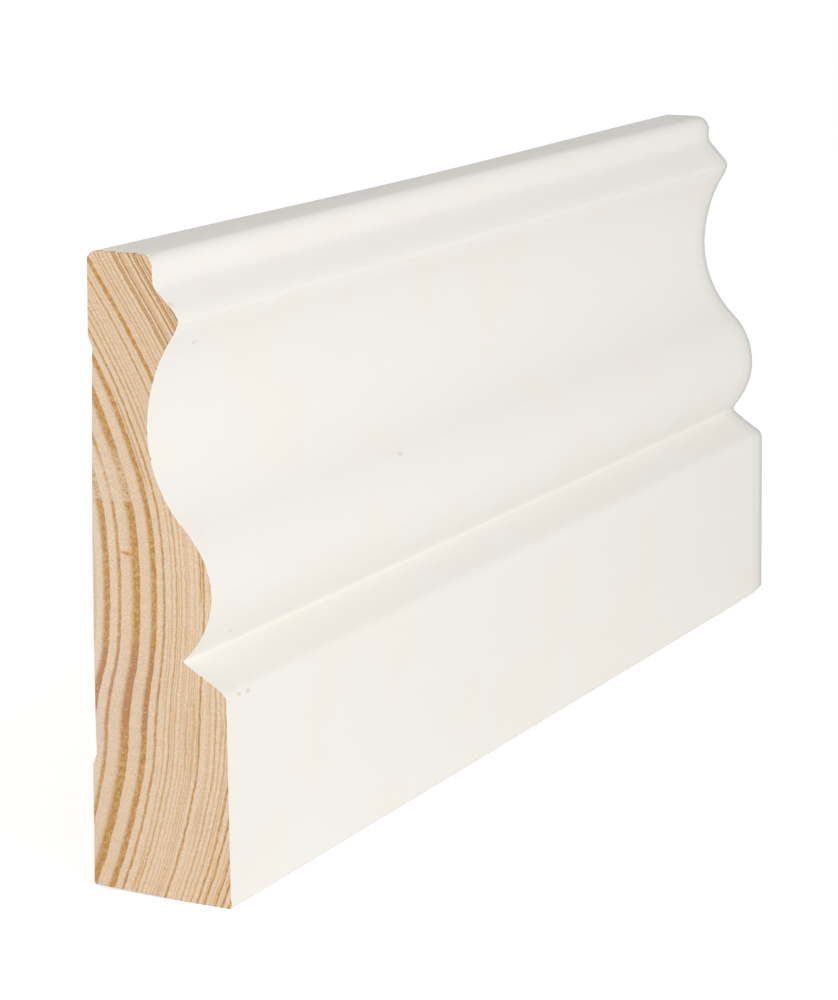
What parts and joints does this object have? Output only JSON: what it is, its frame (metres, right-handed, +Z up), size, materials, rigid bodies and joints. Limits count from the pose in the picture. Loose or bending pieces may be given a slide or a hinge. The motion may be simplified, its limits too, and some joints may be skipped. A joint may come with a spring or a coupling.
{
  "type": "skirting board length",
  "caption": "Short length of painted pine skirting board with a moulded ogee face over a flat plinth, square-cut ends and a relieved back.",
  "frame": {"origin": "on the floor under the middle of the board, halfway along its length and through its thickness", "axes": "+X along the length, towards the far end; the moulded face looks along -Y and the back along +Y, towards the wall; +Z up"},
  "size_m": [0.21, 0.022, 0.09],
  "materials": {
    "painted_pine": "off-white satin paint on the face and both edges, bare pine on the sawn ends and the back",
    "bare_pine": "sawn or planed pine with no coating"
  },
  "bodies": {
    "root": {"skirting_board": "painted_pine"}
  },
  "joints": []
}
